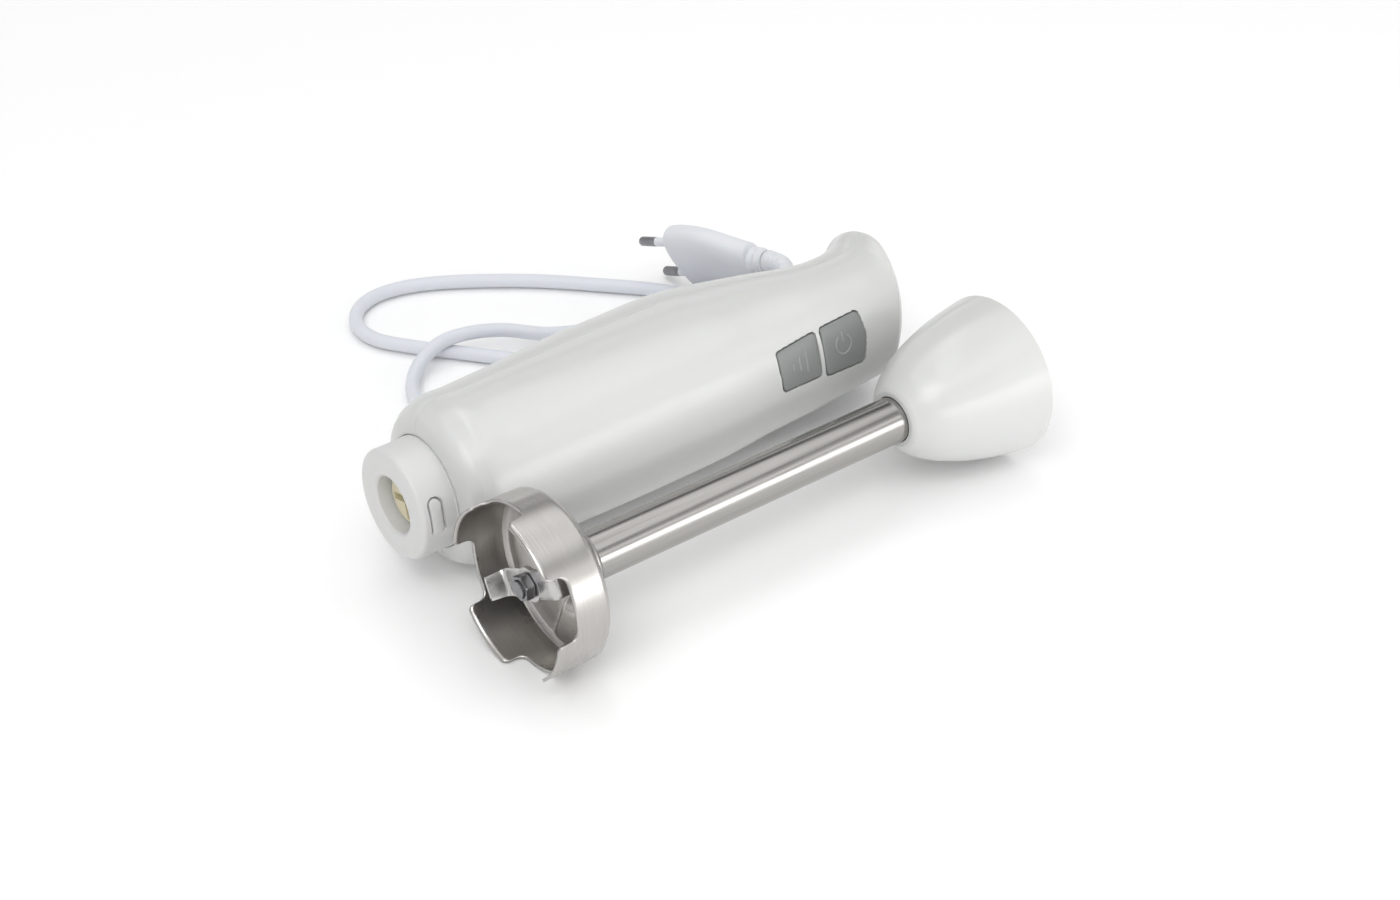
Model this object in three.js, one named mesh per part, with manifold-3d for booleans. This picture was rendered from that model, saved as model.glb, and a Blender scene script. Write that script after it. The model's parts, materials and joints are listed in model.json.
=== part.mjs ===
// Immersion blender in millimetres, +Z up: the motor handle lies on its side, the blending leg lies
// beside it and the mains lead runs behind it. Both long axes run along +X.
import * as THREE from "three";
import { mergeVertices } from "three/addons/utils/BufferGeometryUtils.js";
import Module from "manifold-3d";

const wasm = await Module();
wasm.setup();

// Driving dimensions
const objectMiddle = { x: 112.1, y: -24 }; // from the nose face and the handle axis to the middle
const axisHeight = 32.8; // handle axis above the table
const frontTilt = THREE.MathUtils.degToRad(14.5); // the button side looks this far above level
const wall = 2.2;
const gap = 0.35;
const noseRadius = 20.1;
const noseLength = 14;
const noseBore = 10.4;
const domeApex = 224.2; // tail end of the handle
const domeRadius = 49.4;
const domeMiddle = { x: domeApex - domeRadius, y: 11.7, z: 5.8 };
const shaftRadius = 3;
const motorMiddle = 73;
const stackLength = 30;
const legStart = 3.8; // guard rim, from the nose face
const legSide = -61.9; // leg axis, from the handle axis
const guardRadius = 30.5;
const guardDepth = 18;
const guardSheet = 1;
const tubeRadius = 8.5;
const coneStart = 166.6; // along the leg
const coneEnd = 216.6;
const coneRadius = 29.9;
const socketRadius = 20.6;
const cordRadius = 2.8;

// Handle outline: place along the axis, reach to the front, reach to the back, half width, power of
// the superellipse that the section follows
const handleStations = [
  [noseLength, 20.8, 20.8, 20.8, 2],
  [15.4, 25, 25, 25, 2],
  [18.4, 28.4, 28.4, 28.3, 2],
  [23, 30.3, 30.6, 30.1, 2.05],
  [36, 30.6, 31.6, 30.4, 2.1],
  [58, 30.7, 33.6, 30.6, 2.2],
  [82, 31, 37, 30.8, 2.3],
  [106, 31, 38.7, 30.9, 2.3],
  [131, 30.5, 40, 30.5, 2.3],
  [144, 29.5, 38, 29.3, 2.3],
  [156, 28.8, 33, 28.2, 2.3],
  [168, 28.4, 27.4, 27.1, 2.3],
  [180, 28, 23.4, 25.6, 2.25],
  [190, 27.5, 21.5, 24.8, 2.2],
  [198, 27, 21.9, 24.6, 2.2],
  [204, 26.4, 23.6, 24.7, 2.15],
  [210, 25.4, 26, 25.6, 2.1],
  [215, 23.8, 27.4, 28, 2.05],
  [219, 21.6, 35.2, 25.8, 2],
  [223, 18.6, 44.4, 22.5, 2],
  [240, 8, 52, 18, 2],
];

const white = { color: 0xf1f1ef, roughness: 0.22, metalness: 0 };
const satinGrey = { color: 0x8b9090, roughness: 0.55, metalness: 0 };
const steel = { color: 0xb3b0ab, roughness: 0.34, metalness: 1 };
const ivory = { color: 0xe6dfc4, roughness: 0.5, metalness: 0 };
const black = { color: 0x26272a, roughness: 0.6, metalness: 0 };
const copper = { color: 0xb06a3a, roughness: 0.4, metalness: 1 };
const darkSteel = { color: 0x6f7075, roughness: 0.4, metalness: 1 };
const brass = { color: 0xb59a5a, roughness: 0.35, metalness: 1 };
const boardGreen = { color: 0x2f6b46, roughness: 0.6, metalness: 0 };

// Solids

function outward(geometry) {
  // Merges the corners and turns every face outwards.
  const bare = geometry.index ? geometry.toNonIndexed() : geometry.clone();
  bare.deleteAttribute("normal");
  bare.deleteAttribute("uv");
  const merged = mergeVertices(bare, 1e-3);
  const index = merged.index.array;
  const corner = [0, 1, 2].map(() => new THREE.Vector3());
  let volume = 0;
  for (let i = 0; i < index.length; i += 3) {
    corner.forEach((v, j) => v.fromBufferAttribute(merged.attributes.position, index[i + j]));
    volume += corner[0].dot(corner[1].cross(corner[2]));
  }
  if (volume < 0) {
    for (let i = 0; i < index.length; i += 3) {
      [index[i + 1], index[i + 2]] = [index[i + 2], index[i + 1]];
    }
  }
  return merged;
}

function solid(geometry) {
  const closed = outward(geometry);
  return new wasm.Manifold(
    new wasm.Mesh({
      numProp: 3,
      vertProperties: closed.attributes.position.array,
      triVerts: new Uint32Array(closed.index.array),
    }),
  );
}

function surface(body) {
  const mesh = body.getMesh();
  const geometry = new THREE.BufferGeometry();
  geometry.setAttribute("position", new THREE.BufferAttribute(mesh.vertProperties, 3));
  geometry.setIndex(new THREE.BufferAttribute(mesh.triVerts, 1));
  geometry.computeVertexNormals();
  return geometry;
}

function cut(base, ...tools) {
  return surface(tools.reduce((rest, tool) => rest.subtract(solid(tool)), solid(base)));
}

function join(...pieces) {
  return surface(pieces.map(solid).reduce((whole, piece) => whole.add(piece)));
}

function common(first, second) {
  return surface(solid(first).intersect(solid(second)));
}

// Shapes. Turned pieces have their axis along X.

function turned(profile, sides = 32) {
  const points = profile.map(([x, radius]) => new THREE.Vector2(radius, x));
  return outward(new THREE.LatheGeometry(points, sides).rotateZ(-Math.PI / 2));
}

function rod(from, to, radius, sides = 16) {
  return turned([[from, 0], [from, radius], [to, radius], [to, 0]], sides);
}

function ring(from, to, inner, outer, sides = 24) {
  return turned([[from, inner], [from, outer], [to, outer], [to, inner], [from, inner]], sides);
}

function block(x, y, z, centreX = 0, centreY = 0, centreZ = 0) {
  return new THREE.BoxGeometry(x, y, z).translate(centreX, centreY, centreZ);
}

function roundedOutline(corners, radius) {
  // A polygon whose corners are rounded with short curves.
  const shape = new THREE.Shape();
  corners.forEach((corner, i) => {
    const before = corners[(i + corners.length - 1) % corners.length];
    const after = corners[(i + 1) % corners.length];
    const enter = corner.clone().add(before.clone().sub(corner).setLength(radius));
    const leave = corner.clone().add(after.clone().sub(corner).setLength(radius));
    if (i === 0) shape.moveTo(enter.x, enter.y);
    else shape.lineTo(enter.x, enter.y);
    shape.quadraticCurveTo(corner.x, corner.y, leave.x, leave.y);
  });
  shape.closePath();
  return shape;
}

function roundedBox(width, height, radius) {
  const [w, h] = [width / 2, height / 2];
  const corners = [[-w, -h], [w, -h], [w, h], [-w, h]].map(([x, y]) => new THREE.Vector2(x, y));
  return roundedOutline(corners, radius);
}

function slab(shape, depth, curveSegments = 4) {
  return new THREE.ExtrudeGeometry(shape, { depth, bevelEnabled: false, curveSegments });
}

function warped(geometry, move) {
  // Moves every vertex by a rule.
  const place = geometry.attributes.position;
  const point = new THREE.Vector3();
  for (let i = 0; i < place.count; i++) {
    move(point.fromBufferAttribute(place, i));
    place.setXYZ(i, point.x, point.y, point.z);
  }
  return geometry;
}

function piece(name, geometry, finish) {
  const mesh = new THREE.Mesh(geometry, new THREE.MeshStandardMaterial(finish));
  mesh.name = name;
  return mesh;
}

// Handle skin: a lathe of unit radius whose every ring is stretched to its station. In the handle's
// own frame the front is -Y and the axis is X.

function stationAt(x) {
  const last = handleStations.length - 1;
  let i = 0;
  while (i < last - 1 && handleStations[i + 1][0] < x) i++;
  const [a, b] = [handleStations[i], handleStations[i + 1]];
  const share = THREE.MathUtils.clamp((x - a[0]) / (b[0] - a[0]), 0, 1);
  return a.map((value, k) => value + (b[k] - value) * share);
}

function handleSkin(inset, sides) {
  const start = noseLength + inset;
  const stops = handleStations.map(([x]) => x).filter((x) => x > start + 0.5);
  const profile = [[start, 0], [start, 1], ...stops.map((x) => [x, 1]), [240, 0]];
  const tube = warped(turned(profile, sides), (p) => {
    const [, front, back, side, power] = stationAt(p.x - inset * 0.4);
    const radius = Math.hypot(p.y, p.z);
    if (radius < 0.5) return;
    const [across, up] = [p.y / radius, p.z / radius];
    const reach = (front + back) / 2 - inset;
    const spread = Math.pow(
      Math.pow(Math.abs(across), power) + Math.pow(Math.abs(up), power),
      -1 / power,
    );
    p.y = across * spread * reach + (back - front) / 2;
    p.z = up * spread * (side - inset);
  });
  const dome = new THREE.SphereGeometry(domeRadius - inset, 28, 14);
  dome.rotateZ(-Math.PI / 2).translate(domeMiddle.x, domeMiddle.y, domeMiddle.z);
  const front = block(200, 130, 130, domeMiddle.x - 90, 0, 0);
  return solid(tube).intersect(solid(dome).add(solid(front)));
}

const skin = handleSkin(0, 28);
const cavity = handleSkin(wall, 20);

function towardsFront(shape, low, high) {
  // An outline, x along the handle and y to the side, pushed out towards the front between two
  // reaches from the axis.
  return slab(shape, high - low).rotateX(Math.PI / 2).translate(0, -low, 0);
}

function alongX(shape, from, to, curveSegments = 4) {
  // An outline across the axis, its x to the front.
  const standing = slab(shape, to - from, curveSegments).rotateX(Math.PI / 2).rotateZ(Math.PI / 2);
  return standing.translate(from, 0, 0);
}

// Housing. Screws run from the rear shell into bosses of the front shell.

const bossPlaces = [[47.6, 17], [47.6, -17], [197, 11.5], [197, -11.5]];
const speedCorners = [[147, -5.9], [165.8, -6.2], [165.8, 11.2], [146.2, 9.6]];
const turboCorners = [[167.8, -7.4], [187, -8], [188.6, 2], [187.2, 12], [167.8, 11.4]];

function buttonOutline(corners, inset) {
  const middle = [0, 1].map((k) => corners.reduce((sum, c) => sum + c[k], 0) / corners.length);
  const moved = corners.map((c) => {
    const [x, y] = c.map((value, k) => value - Math.sign(value - middle[k]) * inset);
    return new THREE.Vector2(x, y);
  });
  return roundedOutline(moved, 2);
}

function fromBack(x, z, radius, from, to, sides = 16) {
  // A round bar across the handle, between two places from front to back.
  return new THREE.CylinderGeometry(radius, radius, to - from, sides).translate(x, (from + to) / 2, z);
}

function seatOf(x) {
  // Place of the screw seats, this far behind the axis.
  return stationAt(x)[2] - 8;
}

function shellHalf(side) {
  // side -1 is the front shell, +1 the rear shell.
  const half = solid(block(260, 80, 160, 116, side * (40 + gap / 2), 0));
  let shell = skin.subtract(cavity);
  for (const [x, z] of bossPlaces) {
    shell = shell.add(solid(fromBack(x, z, 3.9, side * 22 - 22, side * 22 + 22)).intersect(skin));
  }
  shell = shell.intersect(half).subtract(solid(rod(10, 24, noseRadius + gap, 32)));
  for (const [x, z] of bossPlaces) {
    shell = shell.subtract(solid(fromBack(x, z, 1.75, -10, seatOf(x) + 1)));
    if (side > 0) shell = shell.subtract(solid(fromBack(x, z, 2.6, seatOf(x), 60)));
  }
  return shell;
}

function frontShell() {
  const windows = [speedCorners, turboCorners].map((corners) =>
    solid(towardsFront(buttonOutline(corners, 0), 12, 45)));
  return surface(windows.reduce((rest, window) => rest.subtract(window), shellHalf(-1)));
}

function rearShell() {
  return surface(shellHalf(1).subtract(solid(inGland(rod(-12, 30, 5.6, 16)))));
}

function housingScrew(x, z) {
  const seat = seatOf(x);
  return join(fromBack(x, z, 2.2, seat + 0.3, seat + 2.3, 12), fromBack(x, z, 1.4, -8, seat + 1, 8));
}

function button(corners) {
  return surface(solid(towardsFront(buttonOutline(corners, gap), 22, 40)).intersect(skin));
}

// Nose, latch and drive

const latchPlace = { x: 6.1, low: -6.9, high: 5.9 };

function latchOutline(half, low, high) {
  const shape = new THREE.Shape();
  shape.moveTo(latchPlace.x - half, low);
  shape.lineTo(latchPlace.x + half, low);
  shape.lineTo(latchPlace.x + half, high - half);
  shape.absarc(latchPlace.x, high - half, half, 0, Math.PI);
  shape.closePath();
  return shape;
}

function noseCollar() {
  const profile = [
    [0, 11.4], [0, 19.3], [0.8, noseRadius], [17.6, noseRadius], [17.6, 23.8], [20.4, 23.8],
    [20.4, 17.7], [2.6, 17.7], [2.6, 12.6], [20.4, 12.6], [20.4, noseBore], [1, noseBore], [0, 11.4],
  ];
  const window = towardsFront(latchOutline(2.9, latchPlace.low, latchPlace.high), 15, 25);
  return cut(turned(profile, 32), window);
}

function latchTongue() {
  const outline = latchOutline(2.15, latchPlace.low + gap, latchPlace.high - 0.75);
  return common(ring(2, 12, 17.9, noseRadius, 40), towardsFront(outline, 15, 25));
}

function driveCoupling() {
  const slots = [block(8, 2.6, 15, 4.6), block(8, 15, 2.6, 4.6)];
  const bore = rod(9.2, 15, shaftRadius + gap);
  return cut(turned([[5.5, 0], [5.5, 8.6], [6.3, 9.5], [14, 9.5], [14, 0]], 24), bore, ...slots);
}

// Motor

function frontBracket() {
  const profile = [
    [21, 11.6], [21, 24.2], [23.4, 24.2], [23.4, 11], [30, 11], [30, 8.35], [24, 8.35],
    [24, 6], [21, 6], [21, 11.6],
  ];
  return turned(profile, 28);
}

function rearBracket() {
  const profile = [
    [111, 8.35], [111, 11], [117, 11], [117, 25.4], [119.4, 25.4], [119.4, 5], [117.2, 5],
    [117.2, 8.35], [111, 8.35],
  ];
  return turned(profile, 28);
}

function coolingFan() {
  const blades = Array.from({ length: 9 }, (_, i) =>
    block(9, 15, 1.4, 37.7, 13).rotateX((i * 2 * Math.PI) / 9));
  return join(ring(41, 42.8, 3.35, 20.6, 27), ring(33, 42, 3.35, 6.2, 18), ...blades);
}

function fieldCore() {
  const [from, to] = [motorMiddle - stackLength / 2, motorMiddle + stackLength / 2];
  const plate = alongX(roundedBox(47, 47, 14), from, to);
  const pockets = [];
  for (const y of [-14.2, 14.2]) {
    for (const z of [-17, 17]) pockets.push(block(60, 6.2, 5, motorMiddle, y, z));
  }
  return cut(plate, rod(from - 5, to + 5, 14.5, 28), ...pockets);
}

function fieldCoil(side) {
  const [long, broad] = [stackLength + 12, 33.6];
  const outline = roundedBox(long, broad, 5);
  outline.holes.push(roundedBox(long - 10, broad - 10.4, 2));
  return slab(outline, 4).translate(motorMiddle, 0, side * 17 - 2);
}

function armatureCore() {
  const slots = 12;
  const shape = new THREE.Shape();
  for (let i = 0; i < slots; i++) {
    const turn = (share) => ((i + share) * 2 * Math.PI) / slots;
    for (const [share, radius] of [[0, 13.8], [0.42, 13.8], [0.84, 13.8], [0.88, 9.4], [0.96, 9.4]]) {
      const place = [radius * Math.cos(turn(share)), radius * Math.sin(turn(share))];
      if (i === 0 && share === 0) shape.moveTo(...place);
      else shape.lineTo(...place);
    }
  }
  shape.closePath();
  const core = alongX(shape, motorMiddle - 13, motorMiddle + 13);
  return cut(core, rod(50, 100, shaftRadius + gap));
}

function winding(from, to) {
  return turned([
    [from, 3.4], [from, 9], [from + 2, 12], [to - 2, 12], [to, 10], [to, 3.4], [from, 3.4],
  ], 20);
}

function brushHolder(side) {
  return cut(block(9, 7.6, 11, 102, 0, side * 17.4), block(6.7, 5.2, 30, 102, 0, side * 17.4));
}

function motorGroup() {
  const rotor = new THREE.Group();
  rotor.add(
    piece("drive_coupling", driveCoupling(), ivory),
    piece("motor_shaft", rod(9.6, 122, shaftRadius), darkSteel),
    piece("cooling_fan", coolingFan(), black),
    piece("armature_core", armatureCore(), darkSteel),
    piece("armature_winding_front", winding(52, 59.6), copper),
    piece("armature_winding_rear", winding(86.4, 94), copper),
    piece("commutator", ring(96, 108, 3.35, 9, 24), copper),
  );
  const stator = new THREE.Group();
  stator.add(
    piece("front_bracket", frontBracket(), black),
    piece("rear_bracket", rearBracket(), black),
    piece("front_bearing", ring(24.3, 29.6, 3.35, 8, 20), darkSteel),
    piece("rear_bearing", ring(111.4, 116.8, 3.35, 8, 20), darkSteel),
    piece("field_core", fieldCore(), darkSteel),
    piece("field_coil_left", fieldCoil(1), copper),
    piece("field_coil_right", fieldCoil(-1), copper),
  );
  for (const [name, side] of [["left", 1], ["right", -1]]) {
    stator.add(piece(`brush_holder_${name}`, brushHolder(side), brass));
    stator.add(piece(`carbon_brush_${name}`, block(6, 4.5, 10.4, 102, 0, side * 14.8), black));
  }
  const motor = new THREE.Group();
  motor.add(rotor, stator);
  return motor;
}

// Controls behind the buttons

function controlsGroup() {
  const controls = new THREE.Group();
  controls.add(piece("circuit_board", block(62, 1.6, 30, 158, -12.8, 2), boardGreen));
  for (const [name, x] of [["speed", 156], ["turbo", 177]]) {
    const body = block(13, 5.2, 7, x, -16.6, 2);
    controls.add(piece(`${name}_switch`, join(body, block(4, 2, 3, x, -19.6, 2)), black));
  }
  const can = rod(132, 158, 6.5, 20).translate(0, -5, 2);
  controls.add(piece("suppression_capacitor", can, brass));
  return controls;
}

// Cord gland: leaves the tail low at the back

const glandPlace = new THREE.Vector3(213, 23.6, -14.6);
const glandAim = new THREE.Vector3(0.1, 0.99, 0.08).normalize();
const glandReach = 25;

function inGland(geometry) {
  const turn = new THREE.Quaternion().setFromUnitVectors(new THREE.Vector3(1, 0, 0), glandAim);
  return geometry.applyQuaternion(turn).translate(...glandPlace.toArray());
}

function cordGland() {
  const profile = [
    [-8, 0], [-8, 5.2], [3, 5.2], [glandReach, 3.6], [glandReach, 0],
  ];
  return inGland(turned(profile, 16));
}

function cordClamp() {
  return block(6, 7, 11, 205.4, 5, -8);
}

function handleGroup() {
  const group = new THREE.Group();
  group.position.set(0, 0, axisHeight);
  group.rotation.x = -frontTilt;
  group.add(
    piece("front_shell", frontShell(), white),
    piece("rear_shell", rearShell(), white),
    piece("speed_button", button(speedCorners), satinGrey),
    piece("turbo_button", button(turboCorners), satinGrey),
    piece("nose_collar", noseCollar(), white),
    piece("latch_tongue", latchTongue(), white),
    piece("cord_gland", cordGland(), white),
    piece("cord_clamp", cordClamp(), black),
    motorGroup(),
    controlsGroup(),
  );
  bossPlaces.forEach(([x, z], i) => {
    group.add(piece(`housing_screw_${i + 1}`, housingScrew(x, z), darkSteel));
  });
  return group;
}

// Blending leg, from the rim of its guard along +X

const notchMiddle = THREE.MathUtils.degToRad(73.1); // first notch, from +Y towards +Z

function bladeGuard() {
  const bell = [
    [0, guardRadius - guardSheet], [0, guardRadius], [guardDepth, guardRadius], [20.5, 29.4],
    [22.5, 26.6], [26.5, 13], [31.5, 11.2], [31.5, 9.2], [27.6, 9.2], [25.6, 12.2], [21.6, 26],
    [19.8, 28.6], [guardDepth, guardRadius - guardSheet], [0, guardRadius - guardSheet],
  ];
  const notches = [];
  for (let i = 0; i < 4; i++) {
    const outline = roundedBox(15, 23.4, 3);
    const notch = slab(outline, 30, 3).translate(0, 0, 12);
    notches.push(notch.rotateX(notchMiddle + (i * Math.PI) / 2 - Math.PI / 2));
  }
  return cut(turned(bell, 48), ...notches);
}

function legCone() {
  const rise = [
    [0, 10.2], [0.4, 11.2], [2, 12.4], [5, 15.5], [10, 19], [18, 22.5], [28, 25.9], [38, 28.1],
    [50, coneRadius],
  ];
  const inside = [[50, coneRadius - 2.3], [38, 25.7], [30, 24], [30, 8.9], [0, 8.9], [0, 10.2]];
  return turned([...rise, ...inside].map(([x, radius]) => [coneStart + x, radius]), 36);
}

function legSocket() {
  const [floor, mouth] = [coneStart + 30.4, coneEnd - 2];
  return turned([
    [floor, 7], [floor, 23.4], [mouth - 8, 23.4], [mouth, 22.6], [mouth, socketRadius],
    [floor + 2.4, socketRadius], [floor + 2.4, 7], [floor, 7],
  ], 36);
}

function legCoupling() {
  const end = coneEnd - 2;
  const fins = [block(7, 2, 13, end - 3.5), block(7, 13, 2, end - 3.5)];
  return cut(join(rod(coneEnd - 15.6, end - 5, 6.4, 20), ...fins), rod(180, end - 6, shaftRadius + gap));
}

const bladeTwist = THREE.MathUtils.degToRad(61);

function blade() {
  const hub = rod(9.4, 11.2, 6.2, 20);
  const wings = [1, -1].map((side) => {
    const shape = new THREE.Shape();
    shape.moveTo(0, -5.4);
    shape.lineTo(13, -5.8);
    shape.lineTo(15, -5.6);
    shape.lineTo(15, 3.4);
    shape.lineTo(0, 5.4);
    shape.closePath();
    const flat = slab(shape, 1.8).rotateY(Math.PI / 2).translate(9.4, 0, 0);
    const tip = block(10, 1.6, 9, 10.3 - side * 3.6, -1.1, -15.4);
    return join(flat, tip).rotateX(side > 0 ? 0 : Math.PI);
  });
  return cut(join(hub, ...wings), rod(0, 40, shaftRadius + gap)).rotateX(bladeTwist);
}

function bladeNut() {
  return cut(rod(5.8, 9.1, 4.8, 6), rod(0, 40, shaftRadius + gap));
}

function legGroup() {
  const leg = new THREE.Group();
  leg.position.set(legStart, legSide, guardRadius);
  const spinning = new THREE.Group();
  spinning.add(
    piece("blade_shaft", rod(5, coneEnd - 8.4, shaftRadius, 12), darkSteel),
    piece("leg_coupling", legCoupling(), black),
    piece("blade", blade(), steel),
    piece("blade_nut", bladeNut(), darkSteel),
  );
  leg.add(
    piece("blade_guard", bladeGuard(), steel),
    piece("leg_tube", ring(31.9, coneStart + 8, 7.2, tubeRadius, 28), steel),
    piece("leg_cone", legCone(), white),
    piece("leg_socket", legSocket(), white),
    piece("shaft_seal", ring(21.5, 27, 3.4, 8.6, 20), black),
    piece("lower_bush", ring(34, 48, 3.4, 6.8, 16), brass),
    piece("upper_bush", ring(150, 164, 3.4, 6.8, 16), brass),
    spinning,
  );
  return leg;
}

// Plug and cord

const plugFace = new THREE.Vector3(197.2, 93.4, 16.2);
const plugAim = new THREE.Vector3(-0.19, 0.928, -0.321).normalize();
const plugBroad = new THREE.Vector3(0.506, -0.187, -0.842).projectOnPlane(plugAim).normalize();
const plugLength = 38;

function plugBody() {
  const stops = [[0, 17, 6.6], [1.2, 17.7, 7], [12, 17.4, 6.9], [24, 14.4, 6.6], [34, 9.4, 5.8], [38, 8, 5.4]];
  const profile = [[0, 0], ...stops.map(([x]) => [x, 1]), [plugLength, 0]];
  return warped(turned(profile, 20), (p) => {
    const stop = stops.findIndex(([x]) => Math.abs(x - p.x) < 1e-3);
    const radius = Math.hypot(p.y, p.z);
    if (radius < 0.5) return;
    const [across, up] = [p.y / radius, p.z / radius];
    const spread = Math.pow(Math.abs(across) ** 2.6 + Math.abs(up) ** 2.6, -1 / 2.6);
    p.y = across * spread * stops[stop][1];
    p.z = up * spread * stops[stop][2];
  });
}

function plugRelief() {
  const rings = [];
  for (let x = plugLength + 0.3; x < 42; x += 3.2) {
    rings.push([x, 5], [x + 1.6, 5], [x + 1.6, 4.3], [x + 3.2, 4.3]);
  }
  const last = rings[rings.length - 1][0];
  return turned([[rings[0][0], 0], ...rings, [last, 0]], 16);
}

function plugGroup() {
  const plug = new THREE.Group();
  const back = plugAim.clone().negate();
  const thin = new THREE.Vector3().crossVectors(back, plugBroad);
  plug.quaternion.setFromRotationMatrix(new THREE.Matrix4().makeBasis(back, plugBroad, thin));
  plug.position.copy(plugFace);
  plug.add(piece("plug_body", plugBody(), white), piece("plug_relief", plugRelief(), white));
  for (const [name, side] of [["upper", -9.3], ["lower", 9.3]]) {
    const sleeve = rod(-10, -0.3, 1.9, 12).translate(0, side, 0);
    const pin = turned([[-19, 0], [-19, 1.2], [-18.2, 2], [-10.3, 2], [-10.3, 0]], 12);
    plug.add(piece(`plug_sleeve_${name}`, sleeve, white));
    plug.add(piece(`plug_pin_${name}`, pin.translate(0, side, 0), darkSteel));
  }
  return plug;
}

const coilMiddle = new THREE.Vector3(174, 53, 0);
const outerTurn = 28.2;
const innerTurn = 22.5;
const coilHeight = 10.8;

// From the gland round the long loop and down to the coil
const leadRoute = [
  [215.6, 44, 8.4], [216.1, 48.2, 7.7], [216, 56.5, 5.1], [212.3, 64.6, 3.3], [205.5, 72, 2.9],
  [198, 80.6, 2.9], [191.6, 90, 2.9], [184.5, 99.8, 2.9], [170, 115.4, 2.9], [152.3, 133.1, 2.9],
  [133, 148.3, 2.9], [118, 157.8, 2.9], [105.4, 163, 2.9], [92.5, 164, 2.9], [81.4, 158.8, 2.9],
  [75, 148.2, 2.9], [75.4, 136.2, 2.9], [84, 122.5, 2.9], [96.2, 107.5, 2.9], [109.5, 91.2, 2.9],
  [130, 65.4, 2.9], [151.5, 36, 2.9],
];

// From the top of the coil over the long loop, round the short one and up to the plug
const tailRoute = [
  [186.9, 76.3, 8], [170, 82.2, 6.8], [156, 87, 4], [143, 91.2, 3.1], [130.1, 95.6, 4.4],
  [113.9, 104.9, 7.8], [100.1, 109.5, 8.9], [89.2, 110.6, 8.2], [77.2, 106.3, 5.6], [68.6, 98, 3.3],
  [64, 87, 2.9], [62, 70, 2.9], [66.5, 53.5, 2.9], [78, 41.8, 2.9], [95, 36.2, 2.9],
  [112, 35.8, 3.2], [128, 36.6, 5.6], [141, 36.8, 11.2], [154, 34.4, 15.6], [166, 30.6, 19.4],
  [177, 27.8, 23.9], [186.9, 26.8, 28.3], [195, 29, 31.4], [201.7, 34.8, 33], [205.6, 42.9, 32.8],
];

function cordAlong(route, steps) {
  const path = new THREE.CatmullRomCurve3(route.map((p) => new THREE.Vector3(...p)));
  const section = new THREE.Shape().absarc(0, 0, cordRadius, 0, 2 * Math.PI);
  return new THREE.ExtrudeGeometry(section, { steps, extrudePath: path, curveSegments: 5 });
}

function cordCoil(spare) {
  const [inner, outer] = [innerTurn - cordRadius - spare, outerTurn + cordRadius + spare];
  const [low, high] = [0.1 - spare, coilHeight + spare];
  const profile = [
    [low, inner + 2], [low, outer - 2], [low + 2, outer], [high - 2, outer], [high, outer - 2],
    [high, inner + 2], [high - 2, inner], [low + 2, inner], [low, inner + 2],
  ];
  return turned(profile, 36).rotateY(-Math.PI / 2).translate(coilMiddle.x, coilMiddle.y, 0);
}

function cordGroup() {
  const plugEnd = plugFace.clone().addScaledVector(plugAim, -45.5);
  const tail = [...tailRoute, plugEnd.toArray()];
  const clear = cordCoil(gap);
  const cord = new THREE.Group();
  cord.add(
    piece("power_cord", cut(cordAlong(leadRoute, 36), clear), white),
    piece("cord_coil", cordCoil(0), white),
    piece("cord_tail", cut(cordAlong(tail, 28), clear), white),
  );
  return cord;
}

const blender = new THREE.Group();
blender.name = "immersion_blender";
blender.position.set(-objectMiddle.x, -objectMiddle.y, 0);
blender.add(handleGroup(), legGroup(), plugGroup(), cordGroup());

export default blender;
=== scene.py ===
import json
import math
import bpy
import bmesh
import numpy as np
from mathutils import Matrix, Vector


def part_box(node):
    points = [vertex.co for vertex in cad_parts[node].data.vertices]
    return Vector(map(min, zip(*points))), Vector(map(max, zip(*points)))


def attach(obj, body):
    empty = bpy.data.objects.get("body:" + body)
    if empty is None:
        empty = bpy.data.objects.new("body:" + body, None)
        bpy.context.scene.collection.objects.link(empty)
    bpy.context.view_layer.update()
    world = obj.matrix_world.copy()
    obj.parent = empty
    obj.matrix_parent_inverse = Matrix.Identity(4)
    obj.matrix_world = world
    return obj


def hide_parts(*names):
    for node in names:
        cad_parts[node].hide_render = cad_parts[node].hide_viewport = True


# Immersion blender taken apart: motor handle on its side, blending leg in front, mains lead behind.
# Lengths in the dictionaries are millimetres, and every mesh is written in metres.
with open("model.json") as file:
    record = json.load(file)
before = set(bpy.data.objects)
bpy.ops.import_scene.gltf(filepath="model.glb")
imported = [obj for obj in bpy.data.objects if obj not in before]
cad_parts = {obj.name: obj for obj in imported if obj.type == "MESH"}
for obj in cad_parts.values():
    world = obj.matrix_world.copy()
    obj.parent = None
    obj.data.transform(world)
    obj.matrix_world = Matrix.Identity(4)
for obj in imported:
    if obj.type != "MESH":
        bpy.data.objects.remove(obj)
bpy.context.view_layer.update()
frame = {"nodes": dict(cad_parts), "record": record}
print("frame loaded,", len(frame["nodes"]), "nodes")


def middleOf(node):
    # middle of a part's box, in millimetres
    low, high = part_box(node)
    return [(a + b) * 500 for a, b in zip(low, high)]


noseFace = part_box("nose_collar")[0][0] * 1000
handleAxis = middleOf("motor_shaft")[1:]
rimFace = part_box("blade_guard")[0][0] * 1000
legAxis = middleOf("leg_tube")[1:]
handleTilt = math.radians(14.5)  # the button side looks this far above level


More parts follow.
